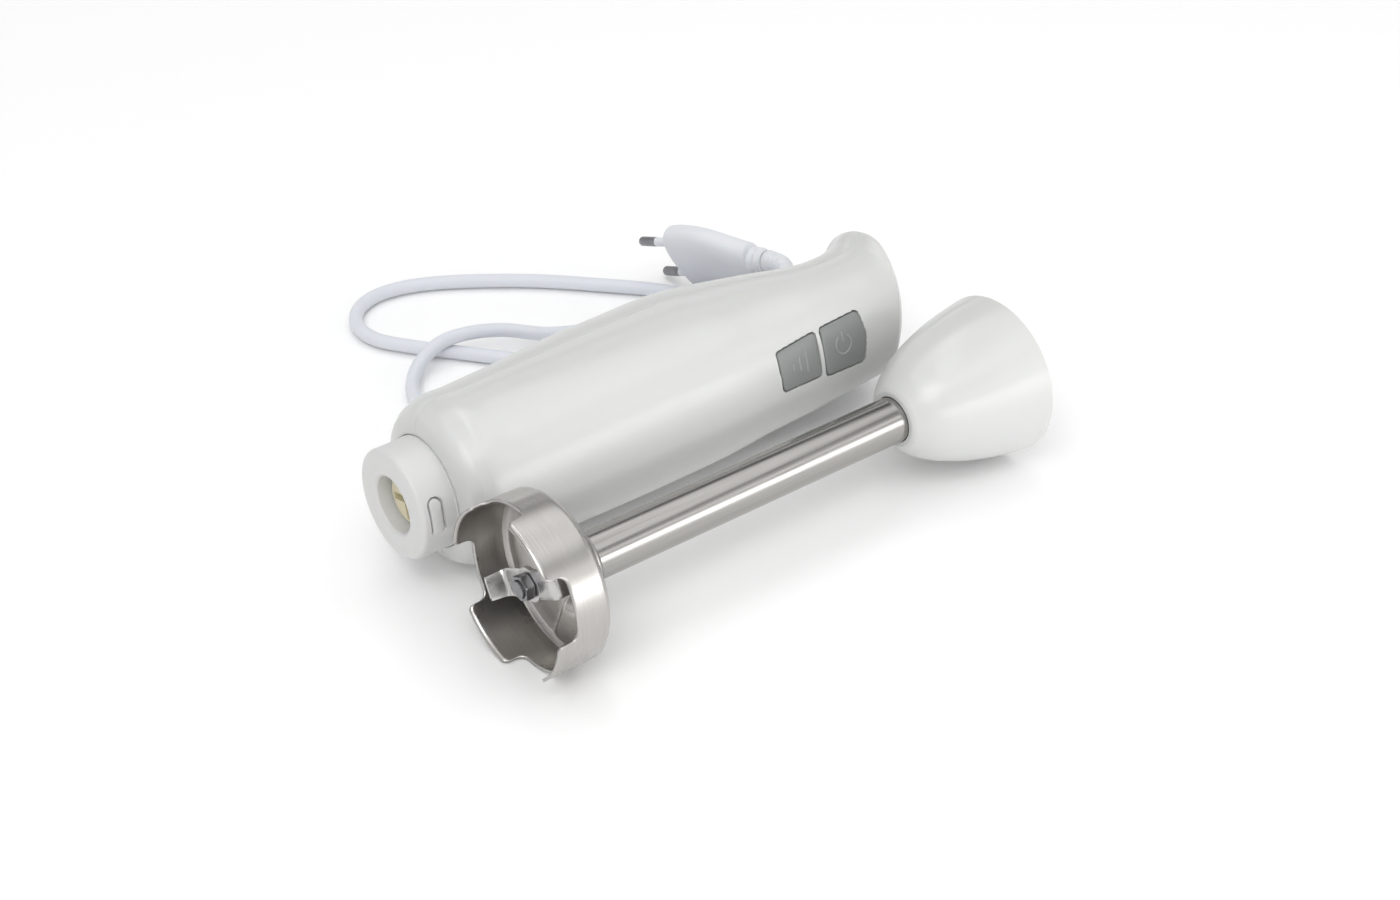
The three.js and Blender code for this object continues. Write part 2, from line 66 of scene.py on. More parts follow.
def toHandle(points):
    # handle's own frame, front -Y, turned about its axis and moved to its place
    p = np.asarray(points, float)
    c, s = math.cos(handleTilt), math.sin(handleTilt)
    y = p[..., 1] * c + p[..., 2] * s + handleAxis[0]
    z = p[..., 2] * c - p[..., 1] * s + handleAxis[1]
    return np.stack([p[..., 0] + noseFace, y, z], -1) / 1000


def toLeg(points):
    # leg's own frame, X from the rim of the guard
    return (np.asarray(points, float) + [rimFace, legAxis[0], legAxis[1]]) / 1000


def toTable(points):
    # X from the nose face, Y from the handle axis, Z from the table
    return (np.asarray(points, float) + [noseFace, handleAxis[0], 0]) / 1000


# Meshes

def gridPiece(name, points, finish, around=True, sharp=40, bevel=0):
    # rows run along the piece and columns round it: every cell is a quad, doubles are merged
    rows, cols = points.shape[:2]
    i = np.arange(rows - 1)[:, None]
    j = np.arange(cols if around else cols - 1)[None, :]
    k = (j + 1) % cols
    quads = np.stack([i * cols + j, i * cols + k, (i + 1) * cols + k, (i + 1) * cols + j], -1)
    mesh = bpy.data.meshes.new(name)
    mesh.from_pydata(points.reshape(-1, 3).tolist(), [], quads.reshape(-1, 4).tolist())
    return finishPiece(name, mesh, finish, sharp, bevel)


def finishPiece(name, mesh, finish, sharp=40, bevel=0):
    # merges the doubled points of seams and poles, shades smooth between sharp edges
    work = bmesh.new()
    work.from_mesh(mesh)
    bmesh.ops.remove_doubles(work, verts=work.verts, dist=1.5e-6)
    bmesh.ops.dissolve_degenerate(work, edges=work.edges, dist=1e-7)
    work.to_mesh(mesh)
    work.free()
    mesh.shade_smooth()
    mesh.set_sharp_from_angle(angle=math.radians(sharp))
    piece = bpy.data.objects.new(name, mesh)
    bpy.context.scene.collection.objects.link(piece)
    piece.data.materials.append(finish)
    if bevel:
        edge = piece.modifiers.new("edges", "BEVEL")
        edge.width, edge.segments, edge.limit_method = bevel / 1000, 2, "ANGLE"
    return piece


def walled(piece, wall):
    # gives an open sheet its thickness, inwards
    shell = piece.modifiers.new("wall", "SOLIDIFY")
    shell.thickness, shell.offset, shell.use_even_offset = wall / 1000, -1, False
    return piece


def placed(piece, body, nodes=()):
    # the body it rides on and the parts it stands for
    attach(piece, body)
    if nodes:
        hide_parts(*nodes)
    return piece


def unit(vector):
    return vector / np.maximum(np.linalg.norm(vector, axis=-1, keepdims=True), 1e-12)


def softProfile(corners, closed=False, steps=7):
    # each corner (x, r, f) becomes a parabola (1-t)^2 a + 2t(1-t) corner + t^2 b, with a and b a
    # distance f before and after the corner on its two straight sides
    c = np.array(corners, float)
    corner, reach = c[:, :2], c[:, 2].copy()
    if not closed:
        reach[[0, -1]] = 0
    a = corner + reach[:, None] * unit(np.roll(corner, 1, 0) - corner)
    b = corner + reach[:, None] * unit(np.roll(corner, -1, 0) - corner)
    t = np.linspace(0, 1, steps)[None, :, None]
    bend = (1 - t) ** 2 * a[:, None] + 2 * t * (1 - t) * corner[:, None] + t ** 2 * b[:, None]
    line = bend.reshape(-1, 2)
    line = line[np.r_[True, np.linalg.norm(np.diff(line, axis=0), axis=1) > 1e-4]]
    return np.vstack([line, line[:1]]) if closed else line


def turned(profile, sides):
    # surface of revolution about X: y = r cos a, z = r sin a
    a = np.linspace(0, 2 * math.pi, sides, endpoint=False)[None, :]
    x, r = profile[:, :1], profile[:, 1:2]
    return np.stack([x + 0 * a, r * np.cos(a), r * np.sin(a)], -1)


def throughPoints(table, x):
    # cubic through rows of a table, with slopes from the neighbouring rows
    t = np.array(table, float)
    slope = np.gradient(t[:, 1:], t[:, 0], axis=0)
    i = np.clip(np.searchsorted(t[:, 0], x) - 1, 0, len(t) - 2)
    h = (t[i + 1, 0] - t[i, 0])[..., None]
    u = np.clip((x[..., None] - t[i, 0][..., None]) / h, 0, 1)
    a, b = t[i, 1:], t[i + 1, 1:]
    return ((1 + 2 * u) * (1 - u) ** 2 * a + u * (1 - u) ** 2 * h * slope[i]
            + u * u * (3 - 2 * u) * b + u * u * (u - 1) * h * slope[i + 1])


def insideOf(outline, u, v):
    # signed distance from points (u, v) to a closed outline, negative inside
    a, b = outline, np.roll(outline, -1, 0)
    p = np.stack([u, v], -1)[..., None, :]
    side = b - a
    t = np.clip(((p - a) * side).sum(-1) / np.maximum((side ** 2).sum(-1), 1e-12), 0, 1)
    away = np.linalg.norm(p - a - t[..., None] * side, axis=-1).min(-1)
    crosses = ((a[:, 1] > p[..., 1]) != (b[:, 1] > p[..., 1])) & (
        p[..., 0] < a[:, 0] + (p[..., 1] - a[:, 1]) * side[:, 0]
        / np.where(np.abs(side[:, 1]) < 1e-9, 1e-9, side[:, 1]))
    return np.where(crosses.sum(-1) % 2 == 1, -away, away)


def step(value, low, high):
    # smooth rise from 0 to 1 between low and high
    t = np.clip((value - low) / (high - low), 0, 1)
    return t * t * (3 - 2 * t)


def frameOf(direction):
    # turn that takes X to a direction, as the shortest rotation does
    a = unit(np.array(direction, float))
    v = np.cross([1.0, 0, 0], a)
    k = np.array([[0, -v[2], v[1]], [v[2], 0, -v[0]], [-v[1], v[0], 0]])
    return np.eye(3) + k + k @ k / (1 + a[0])


# Finishes. Each has its own noise for colour, gloss and the fine surface.

def newFinish(name):
    material = bpy.data.materials.new(name)
    material.use_nodes = True
    nodes, links = material.node_tree.nodes, material.node_tree.links
    return material, nodes, links, nodes["Principled BSDF"]


def objectNoise(nodes, links, scale, stretch=(1, 1, 1), detail=3, place=None):
    # noise fixed to the piece
    where = nodes.new("ShaderNodeTexCoord")
    mapping = nodes.new("ShaderNodeMapping")
    mapping.inputs["Scale"].default_value = stretch
    if place:
        mapping.inputs["Location"].default_value = place
    noise = nodes.new("ShaderNodeTexNoise")
    noise.inputs["Scale"].default_value = scale
    noise.inputs["Detail"].default_value = detail
    links.new(where.outputs["Object"], mapping.inputs["Vector"])
    links.new(mapping.outputs["Vector"], noise.inputs["Vector"])
    return noise.outputs["Fac"]


def ramp(nodes, links, source, low, high, fromLow=0.3, fromHigh=0.7):
    # noise to a colour between two tones
    made = nodes.new("ShaderNodeValToRGB")
    first, last = made.color_ramp.elements
    first.position, last.position = fromLow, fromHigh
    first.color, last.color = (*low, 1), (*high, 1)
    links.new(source, made.inputs["Fac"])
    return made.outputs["Color"]


def spread(nodes, links, source, low, high):
    # noise to a number between two values
    made = nodes.new("ShaderNodeMapRange")
    made.inputs["From Min"].default_value, made.inputs["From Max"].default_value = 0.3, 0.7
    made.inputs["To Min"].default_value, made.inputs["To Max"].default_value = low, high
    links.new(source, made.inputs["Value"])
    return made.outputs["Result"]


def bumped(nodes, links, shader, source, strength, depth):
    bump = nodes.new("ShaderNodeBump")
    bump.inputs["Strength"].default_value = strength
    bump.inputs["Distance"].default_value = depth
    links.new(source, bump.inputs["Height"])
    links.new(bump.outputs["Normal"], shader.inputs["Normal"])


def plastic(name, colour, gloss, shade=0.03, grain=900, relief=0.06, depth=2e-5, coat=0.0,
            soft=0.0, blotch=14):
    # moulded plastic: slow drift of tone, fine grain in the gloss and in the surface
    material, nodes, links, shader = newFinish(name)
    slow = objectNoise(nodes, links, blotch, detail=4)
    darker = tuple(c * (1 - shade) for c in colour)
    links.new(ramp(nodes, links, slow, darker, colour), shader.inputs["Base Color"])
    fine = objectNoise(nodes, links, grain, detail=2)
    mixed = objectNoise(nodes, links, blotch * 6, detail=5, place=(3, 1, 2))
    links.new(spread(nodes, links, mixed, gloss[0], gloss[1]), shader.inputs["Roughness"])
    bumped(nodes, links, shader, fine, relief, depth)
    shader.inputs["Coat Weight"].default_value = coat
    shader.inputs["Coat Roughness"].default_value = 0.12
    if soft:
        shader.inputs["Subsurface Weight"].default_value = soft
        shader.inputs["Subsurface Scale"].default_value = 0.002
    return material


def metal(name, colour, gloss, stretch=(1, 1, 1), scale=300, shade=0.25, relief=0.12, depth=3e-5):
    # brushed or ground metal: hair lines from noise that is drawn out along the brushing
    material, nodes, links, shader = newFinish(name)
    lines = objectNoise(nodes, links, scale, stretch, detail=6)
    darker = tuple(c * (1 - shade) for c in colour)
    links.new(ramp(nodes, links, lines, darker, colour, 0.25, 0.75), shader.inputs["Base Color"])
    smudge = objectNoise(nodes, links, 45, detail=4, place=(2, 5, 1))
    links.new(spread(nodes, links, smudge, gloss[0], gloss[1]), shader.inputs["Roughness"])
    bumped(nodes, links, shader, lines, relief, depth)
    shader.inputs["Metallic"].default_value = 1.0
    return material


finishes = {
    "gloss": plastic("glossWhite", (0.60, 0.605, 0.595), (0.28, 0.36), 0.02, coat=0.2, soft=0.05),
    "satin": plastic("satinWhite", (0.63, 0.63, 0.625), (0.34, 0.46), 0.03, 1400, 0.12, soft=0.05),
    "button": plastic("buttonGrey", (0.235, 0.245, 0.24), (0.30, 0.42), 0.06, 2600, 0.35, 4e-5),
    "mark": plastic("markGrey", (0.30, 0.312, 0.31), (0.34, 0.46), 0.06, 2600, 0.2),
    "ivory": plastic("ivoryNylon", (0.70, 0.64, 0.46), (0.38, 0.52), 0.08, 1200, 0.15, soft=0.08),
    "lead": plastic("leadWhite", (0.69, 0.71, 0.76), (0.36, 0.5), 0.04, 1800, 0.2, soft=0.06),
    "plug": plastic("plugWhite", (0.71, 0.725, 0.76), (0.3, 0.44), 0.04, 1500, 0.16, soft=0.06),
    "black": plastic("blackPlastic", (0.022, 0.022, 0.025), (0.42, 0.58), 0.2, 1200, 0.2),
    "carbon": plastic("pressedCarbon", (0.03, 0.03, 0.03), (0.6, 0.75), 0.3, 2000, 0.5, 5e-5),
    "board": plastic("boardGreen", (0.03, 0.16, 0.07), (0.35, 0.5), 0.2, 700, 0.2),
    "turned": metal("turnedSteel", (0.52, 0.505, 0.485), (0.25, 0.34), (90, 2, 2), 40, 0.16, 0.05),
    "drawn": metal("drawnSteel", (0.40, 0.39, 0.375), (0.18, 0.24), (1, 40, 40), 40, 0.12, 0.03),
    "ground": metal("groundSteel", (0.33, 0.33, 0.345), (0.3, 0.45), (30, 4, 4), 60, 0.35, 0.25),
    "bladeSteel": metal("bladeSteel", (0.62, 0.61, 0.6), (0.2, 0.32), (2, 30, 4), 60, 0.2, 0.15),
    "copper": metal("enamelCopper", (0.6, 0.27, 0.13), (0.28, 0.4), (60, 4, 4), 50, 0.3, 0.4, 6e-5),
    "brass": metal("plainBrass", (0.6, 0.47, 0.22), (0.26, 0.4), (20, 6, 6), 60, 0.25, 0.2),
}
print("finishes made:", len(finishes))

# Camera, floor and light
look = {"target": (131.73, 0.05, 0.0), "distance": 938.5, "azimuth": -37.86, "elevation": 34.52,
        "lens": 65.06, "floor": (0.95, 0.95, 0.95), "sky": 1.12, "background": 0.9}
# height in the room and brightness of what the steel and the shells reflect there
roomBands = [(0.0, 0.12), (0.08, 0.12), (0.14, 1.2), (0.28, 1.2), (0.33, 0.05), (0.41, 0.05),
             (0.46, 1.0), (0.52, 1.0), (0.58, 0.04), (0.7, 0.06), (0.78, 1.25), (0.9, 1.3),
             (0.95, 0.5), (1.0, 0.5)]
# soft lights: place, aim, width, height, watts
lights = {"key": ((-0.9, -0.7, 1.3), (0, 0, 0), 0.9, 0.9, 8),
          "fill": ((0.9, -1.1, 0.6), (0, 0, 0.03), 1.2, 1.2, 3),
          "low": ((0.25, -1.3, 0.2), (0, 0, 0.03), 1.6, 0.4, 5),
          "strip": ((0.1, 0.25, 1.5), (0, 0, 0), 0.25, 1.6, 3)}


def makeCamera():
    # camera on a sphere round its target, looking inwards
    a, e = math.radians(look["azimuth"]), math.radians(look["elevation"])
    back = Vector((math.sin(a) * math.cos(e), -math.cos(a) * math.cos(e), math.sin(e)))
    data = bpy.data.cameras.new("camera")
    data.lens, data.sensor_width, data.clip_end = look["lens"], 36, 20
    camera = bpy.data.objects.new("camera", data)
    bpy.context.scene.collection.objects.link(camera)
    camera.location = Vector(toTable(look["target"])) + back * look["distance"] / 1000
    camera.rotation_euler = (-back).to_track_quat("-Z", "Y").to_euler()
    bpy.context.scene.camera = camera


def makeStage():
    # plain pale floor, a hair under the table plane
    mesh = bpy.data.meshes.new("floor")
    mesh.from_pydata([(-6, -6, 0), (6, -6, 0), (6, 6, 0), (-6, 6, 0)], [], [(0, 1, 2, 3)])
    floor = bpy.data.objects.new("floor", mesh)
    bpy.context.scene.collection.objects.link(floor)
    floor.location.z = -0.0004
    material, nodes, links, shader = newFinish("paleFloor")
    shader.inputs["Base Color"].default_value = (*look["floor"], 1)
    shader.inputs["Roughness"].default_value = 0.6
    mesh.materials.append(material)


def addLight(name, place, aim, wide, tall, power):
    data = bpy.data.lights.new(name, "AREA")
    data.energy, data.shape, data.size, data.size_y = power, "RECTANGLE", wide, tall
    light = bpy.data.objects.new(name, data)
    bpy.context.scene.collection.objects.link(light)
    light.location = place
    light.rotation_euler = (Vector(aim) - Vector(place)).to_track_quat("-Z", "Y").to_euler()


def makeLight():
    world = bpy.data.worlds.new("studio")
    bpy.context.scene.world = world
    world.use_nodes = True
    nodes, links = world.node_tree.nodes, world.node_tree.links
    # reflections see the bands of the room, and the camera sees a plain pale background
    where = nodes.new("ShaderNodeTexCoord")
    split = nodes.new("ShaderNodeSeparateXYZ")
    height = nodes.new("ShaderNodeValToRGB")
    while len(height.color_ramp.elements) < len(roomBands):
        height.color_ramp.elements.new(0.5)
    for element, (place, tone) in zip(height.color_ramp.elements, roomBands):
        element.position, element.color = place, (tone, tone, tone, 1)
    links.new(where.outputs["Generated"], split.inputs["Vector"])
    links.new(split.outputs["Z"], height.inputs["Fac"])
    ray = nodes.new("ShaderNodeLightPath")
    plain = nodes.new("ShaderNodeMix")
    plain.data_type = "RGBA"
    plain.inputs["B"].default_value = (*[look["background"]] * 3, 1)
    links.new(ray.outputs["Is Camera Ray"], plain.inputs["Factor"])
    links.new(height.outputs["Color"], plain.inputs["A"])
    links.new(plain.outputs["Result"], nodes["Background"].inputs["Color"])
    nodes["Background"].inputs["Strength"].default_value = look["sky"]
    for name, values in lights.items():
        addLight(name, *values)
    bpy.context.scene.view_settings.view_transform = "Standard"


makeCamera()
makeStage()
makeLight()
print("camera, floor and light")

# Mains lead
lead = {
    "radius": 2.8, "sides": 16, "pitch": 1.6, "length": 1.097,
    "toCoil": [
        (215.6, 44, 8.4), (216.1, 48.2, 7.7), (216, 56.5, 5.1), (212.3, 64.6, 3.3),
        (205.5, 72, 2.9), (198, 80.6, 2.9), (191.6, 90, 2.9), (184.5, 99.8, 2.9), (170, 115.4, 2.9),
        (152.3, 133.1, 2.9), (133, 148.3, 2.9), (118, 157.8, 2.9), (105.4, 163, 2.9),
        (92.5, 164, 2.9), (81.4, 158.8, 2.9), (75, 148.2, 2.9), (75.4, 136.2, 2.9),
        (84, 122.5, 2.9), (96.2, 107.5, 2.9), (109.5, 91.2, 2.9), (130, 65.4, 2.9)],
    "coilMiddle": (174, 53), "coilFrom": 217.2, "coilTo": 1141, "outer": 28.2, "inner": 22.5,
    "coilLift": 5.1, "coilFlare": 4.2,
    "toPlug": [
        (186.9, 76.3, 8), (170, 82.2, 6.8), (156, 87, 4), (143, 91.2, 3.1), (130.1, 95.6, 4.4),
        (113.9, 104.9, 7.8), (100.1, 109.5, 8.9), (89.2, 110.6, 8.2), (77.2, 106.3, 5.6),
        (68.6, 98, 3.3), (64, 87, 2.9), (62, 70, 2.9), (66.5, 53.5, 2.9), (78, 41.8, 2.9),
        (95, 36.2, 2.9), (112, 35.8, 3.2), (128, 36.6, 5.6), (141, 36.8, 11.2),
        (154, 34.4, 15.6), (166, 30.6, 19.4), (177, 27.8, 23.9), (186.9, 26.8, 28.3),
        (195, 29, 31.4), (201.7, 34.8, 33), (205.6, 42.9, 32.8)],
}
plug = {"face": (197.2, 93.4, 16.2), "aim": (-0.19, 0.928, -0.321),
        "broad": (0.506, -0.187, -0.842),
        # along the body: half width, half thickness
        "stations": [(0, 17, 6.6), (6, 17.6, 7), (12, 17.3, 6.9), (18, 16.1, 6.8), (24, 14.0, 6.5),
                     (29, 11.6, 6.1), (34, 9.4, 5.7), (38, 8, 5.4)],
        "corner": 2.6, "gripPlace": 20, "gripLength": 7, "gripWidth": 9, "gripDeep": 0.16,
        "leadEnd": 45.5, "pinSpacing": 9.3, "sleeveLength": 19, "sleeveRings": 7}


def coilPoints():
    # circle (r cos a, r sin a): two turns on the table, the second inside the first, then a part
    # turn on top of them, with smooth steps of r and z over the angle
    a = np.arange(lead["coilFrom"], lead["coilTo"], 20)
    inwards = (lead["outer"] - lead["inner"]) * step(a, 500, 600)
    r = lead["outer"] - inwards + lead["coilFlare"] * step(a, 930, 1090)
    z = lead["radius"] + 0.1 + lead["coilLift"] * step(a, 850, 960)
    x = lead["coilMiddle"][0] + r * np.cos(np.radians(a))
    y = lead["coilMiddle"][1] + r * np.sin(np.radians(a))
    return np.stack([x, y, z], -1)


def curveThrough(points, pitch):
    # centripetal Catmull-Rom curve, as three nested blends of neighbouring points
    p = np.vstack([2 * points[0] - points[1], points, 2 * points[-1] - points[-2]])
    t = np.concatenate([[0], np.cumsum(np.linalg.norm(np.diff(p, axis=0), axis=1) ** 0.5)])
    knots = [t[k:len(t) - 3 + k][:, None, None] for k in range(4)]
    corners = [p[k:len(p) - 3 + k][:, None, :] for k in range(4)]
    s = knots[1] + (knots[2] - knots[1]) * np.linspace(0, 1, 24, endpoint=False)[None, :, None]

    def blend(a, b, low, high):
        return ((high - s) * a + (s - low) * b) / (high - low)

    first = [blend(corners[k], corners[k + 1], knots[k], knots[k + 1]) for k in range(3)]
    second = [blend(first[k], first[k + 1], knots[k], knots[k + 2]) for k in range(2)]
    line = blend(second[0], second[1], knots[1], knots[2]).reshape(-1, 3)
    line = np.vstack([line, points[-1]])
    along = np.concatenate([[0], np.cumsum(np.linalg.norm(np.diff(line, axis=0), axis=1))])
    stops = np.linspace(0, along[-1], int(along[-1] / pitch) + 1)
    return np.stack([np.interp(stops, along, line[:, k]) for k in range(3)], -1)


def tubeAlong(path, radii, sides):
    # circle carried along a path: centre + r (cos a * side + sin a * up), ends drawn to a point
    tangent = unit(np.gradient(path, axis=0))
    side = unit(np.cross(tangent, [0, 0, 1.0]))
    up = np.cross(side, tangent)
    a = np.linspace(0, 2 * math.pi, sides, endpoint=False)[None, :, None]
    r = np.broadcast_to(radii, len(path))[:, None, None]
    tube = path[:, None] + r * (np.cos(a) * side[:, None] - np.sin(a) * up[:, None])
    start = np.repeat(path[:1][:, None], sides, 1)
    end = np.repeat(path[-1:][:, None], sides, 1)
    return np.vstack([start, tube, end])


def plugFrame():
    # axes of the plug: to its tail, across its pins, through its thickness
    aim = unit(np.array(plug["aim"]))
    broad = np.array(plug["broad"])
    broad = unit(broad - aim * (broad @ aim))
    back = -aim
    return back, broad, np.cross(back, broad)


def toPlug(points):
    # plug's own frame: X from its face to its tail, Y across the two pins, Z its thickness
    axes = np.stack(plugFrame())
    return toTable(np.asarray(points, float) @ axes + np.array(plug["face"]))


leadEnd = np.array(plug["face"]) + plugFrame()[0] * plug["leadEnd"]
leadRoute = np.vstack([lead["toCoil"], coilPoints(), lead["toPlug"], leadEnd])
leadPath = curveThrough(leadRoute, lead["pitch"])


def makeLead():
    # one tube from the gland, through the coil, to the plug
    tube = tubeAlong(leadPath, lead["radius"], lead["sides"])
    piece = gridPiece("mainsLead", toTable(tube), finishes["lead"], sharp=50)
    return placed(piece, "handle", ("power_cord", "cord_coil", "cord_tail"))


def makePlugBody():
    # superellipse section (cos a, sin a) / (|cos a|^p + |sin a|^p)^(1/p), its half width and half
    # thickness taken through the stations, and a finger hollow exp(-u^2) exp(-v^2) on both faces
    x = np.concatenate([[0, 0, 0.15, 0.5, 1.1, 2], np.linspace(3, 37.4, 36), [37.8, 38, 38]])
    inset = np.concatenate([[1, 0.09, 0.05, 0.02, 0.006, 0], np.zeros(36), [0.03, 0.09, 1]])
    size = throughPoints(plug["stations"], x) * (1 - inset[:, None])
    hollow = plug["gripDeep"] * np.exp(-((x - plug["gripPlace"]) / plug["gripLength"]) ** 2)
    a = np.linspace(0, 2 * math.pi, 72, endpoint=False)[None, :]
    power = plug["corner"]
    reach = (np.abs(np.cos(a)) ** power + np.abs(np.sin(a)) ** power) ** (-1 / power)
    y = size[:, :1] * np.cos(a) * reach
    z = size[:, 1:] * np.sin(a) * reach
    grip = 1 - hollow[:, None] * np.exp(-(y / plug["gripWidth"]) ** 2)
    body = np.stack([x[:, None] + 0 * a, y, z * grip], -1)
    piece = gridPiece("plugBody", toPlug(body), finishes["plug"], sharp=60)
    return placed(piece, "handle", ("plug_body",))


def makePlugRelief():
    # two collar rings, then a sleeve along the last stretch of the lead: its radius falls evenly,
    # and steps in where sin(2 pi rings s) is high
    rings = softProfile([(37.5, 0, 0), (37.5, 5.6, 0), (38.6, 5.6, 0.5), (39.4, 4.6, 0.5),
                         (40.4, 4.6, 0.4), (41, 5.3, 0.5), (42.2, 5.3, 0.5), (42.8, 4.4, 0.4),
                         (44.2, 4.3, 0), (44.2, 0, 0)])
    collar = gridPiece("plugCollar", toPlug(turned(rings, 48)), finishes["plug"], sharp=50)
    placed(collar, "handle", ("plug_relief",))
    rows = int(plug["sleeveLength"] / lead["pitch"])
    fine = curveThrough(leadPath[-rows:][::-1], 0.35)
    share = np.linspace(0, 1, len(fine))
    groove = np.sin(share * 2 * math.pi * plug["sleeveRings"]) > 0.55
    radii = 4.4 - 1.35 * share - 0.22 * groove
    sleeve = gridPiece("plugSleeve", toTable(tubeAlong(fine, radii, 28)), finishes["plug"])
    return collar, placed(sleeve, "handle")


def makePins():
    # each pin is a lathe with a rounded tip, in a lathe of a sleeve
    made = []
    for name, side in (("Upper", -1), ("Lower", 1)):
        across = np.array([0, side * plug["pinSpacing"], 0])
        sleeve = softProfile([(0.3, 0, 0), (0.3, 1.9, 0), (-10, 1.9, 0.15), (-10, 0, 0)])
        pin = softProfile([(-9.8, 0, 0), (-9.8, 1.98, 0), (-18.1, 1.98, 0.7), (-19, 1.2, 0.6),
                           (-19, 0, 0)])
        for word, profile, finish, slot in (("Sleeve", sleeve, "plug", "cord_pvc"),
                                            ("Pin", pin, "ground", "dark_steel")):
            points = toPlug(turned(profile[::-1], 32) + across)
            piece = gridPiece("plug" + word + name, points, finishes[finish], sharp=50)
            node = f"plug_{word.lower()}_{name.lower()}"
            made.append(placed(piece, "handle", (node,)))
    return made


mainsLead = makeLead()
plugPieces = [makePlugBody(), *makePlugRelief(), *makePins()]
print("mains lead and plug")

# Housing
housing = {
    # along the axis, reach to the front, reach to the back, half width, superellipse power
    "stations": [
        (14, 20.8, 20.8, 20.8, 2), (15.4, 25, 25, 25, 2), (18.4, 28.4, 28.4, 28.3, 2),
        (23, 30.3, 30.6, 30.1, 2.05), (36, 30.6, 31.6, 30.4, 2.1), (58, 30.7, 33.6, 30.6, 2.2),
        (82, 31, 37, 30.8, 2.3), (106, 31, 38.7, 30.9, 2.3), (131, 30.5, 40, 30.5, 2.3),
        (144, 29.5, 38, 29.3, 2.3), (156, 28.8, 33, 28.2, 2.3), (168, 28.4, 27.4, 27.1, 2.3),
        (180, 28, 23.4, 25.6, 2.25), (190, 27.5, 21.5, 24.8, 2.2), (198, 27, 21.9, 24.6, 2.2),
        (204, 26.4, 23.6, 24.7, 2.15), (210, 25.4, 26, 25.6, 2.1), (215, 23.8, 27.4, 28, 2.05),
        (219, 21.6, 35.2, 25.8, 2), (223, 18.6, 44.4, 22.5, 2), (240, 8, 52, 18, 2)],
    "domeMiddle": (174.8, 11.7, 5.8), "domeRadius": 49.4, "rim": 1.5, "wall": 1.6, "parting": 0.2,
    "speed": [(147, -5.9), (165.8, -6.2), (165.8, 11.2), (146.2, 9.6)],
    "turbo": [(167.8, -7.4), (187, -8), (188.6, 2), (187.2, 12), (167.8, 11.4)],
    "corner": 2.0, "gap": 0.35, "pocket": 3.4,
    "screws": [(47.6, 17), (47.6, -17), (197, 11.5), (197, -11.5)], "screwHole": 2.6,
    "screwDeep": 6.2,
}


def buttonOutline(corners, inset):
    # corners moved inwards, then rounded
    c = np.array(corners, float)
    moved = c - np.sign(c - c.mean(0)) * inset
    ring = np.column_stack([moved, np.full(len(c), housing["corner"])])
    return softProfile(ring, closed=True, steps=9)[:-1]


def skinPoint(x, a):
    # superellipse of the stations, (cos a, sin a) / (|cos a|^p + |sin a|^p)^(1/p), its middle
    # shifted so that front and back reach differ, less a narrow crease exp(-u^2) at the shoulder
    front, back, side, power = np.moveaxis(throughPoints(housing["stations"], x), -1, 0)
    c, s = np.cos(a), np.sin(a)
    reach = (np.abs(c) ** power + np.abs(s) ** power) ** (-1 / power)
    crease = 0.3 * np.exp(-((x - 21.6) / 0.8) ** 2)
    y = c * reach * ((front + back) / 2 - crease) + (back - front) / 2
    return np.stack([x + 0 * a, y, s * reach * (side - crease)], -1)


def frontSurface(x, z):
    # reach of the front skin at a place (x, z): middle less half depth (1 - |z/side|^p)^(1/p)
    front, back, side, power = np.moveaxis(throughPoints(housing["stations"], x), -1, 0)
    rise = (1 - np.abs(z / side) ** power) ** (1 / power)
    return (back - front) / 2 - rise * (front + back) / 2


def rimPlaces(a):
    # where the skin meets the dome, by halving
    low, high = np.full(a.shape, 180.0), np.full(a.shape, 239.0)
    for halving in range(40):
        mid = (low + high) / 2
        outside = np.linalg.norm(skinPoint(mid, a) - housing["domeMiddle"], axis=-1)
        low = np.where(outside < housing["domeRadius"], mid, low)
        high = np.where(outside < housing["domeRadius"], high, mid)
    return (low + high) / 2


def domePoint(start, share):
    # great circle from the rim to the apex: (sin((1-s)t) n + sin(st) apex) / sin t
    middle, radius = np.array(housing["domeMiddle"]), housing["domeRadius"]
    n = unit(start - middle)
    turn = np.arccos(np.clip(n[..., :1], -1, 1))
    apex = np.array([1.0, 0, 0])
    blend = np.sin((1 - share) * turn) * n + np.sin(share * turn) * apex
    return middle + radius * blend / np.sin(turn)


def skinGrid(a, stops):
    # rows: inner lip of the collar seat, the skin, a parabola over the rim, the dome
    a = a[None, :]
    lip = np.array([[17, 20.5], [14.5, 20.5], [14.1, 20.62]])
    seat = np.stack([lip[:, :1] + 0 * a, lip[:, 1:] * np.cos(a), lip[:, 1:] * np.sin(a)], -1)
    body = skinPoint(stops[:, None] + 0 * a, a + 0 * stops[:, None])
    rimAt = rimPlaces(a[0])[None, :]
    last = stops[-1]
    share = np.linspace(0, 1, 22)[1:-1, None]
    tail = skinPoint(last + share * (rimAt - housing["rim"] - last), a + 0 * share)
    before = skinPoint(rimAt - housing["rim"], a)[0]
    corner = skinPoint(rimAt, a)[0]
    arc = housing["domeRadius"] * np.arccos(unit(corner - housing["domeMiddle"])[..., 0])
    after = domePoint(corner, (housing["rim"] / arc)[:, None])
    t = np.linspace(0, 1, 9)[:, None, None]
    rim = (1 - t) ** 2 * before + 2 * t * (1 - t) * corner + t ** 2 * after
    s = np.linspace(0, 1, 26)[1:, None, None]
    dome = domePoint(np.broadcast_to(after, (25, *after.shape)), s)
    return np.concatenate([seat, body, tail, rim, dome])


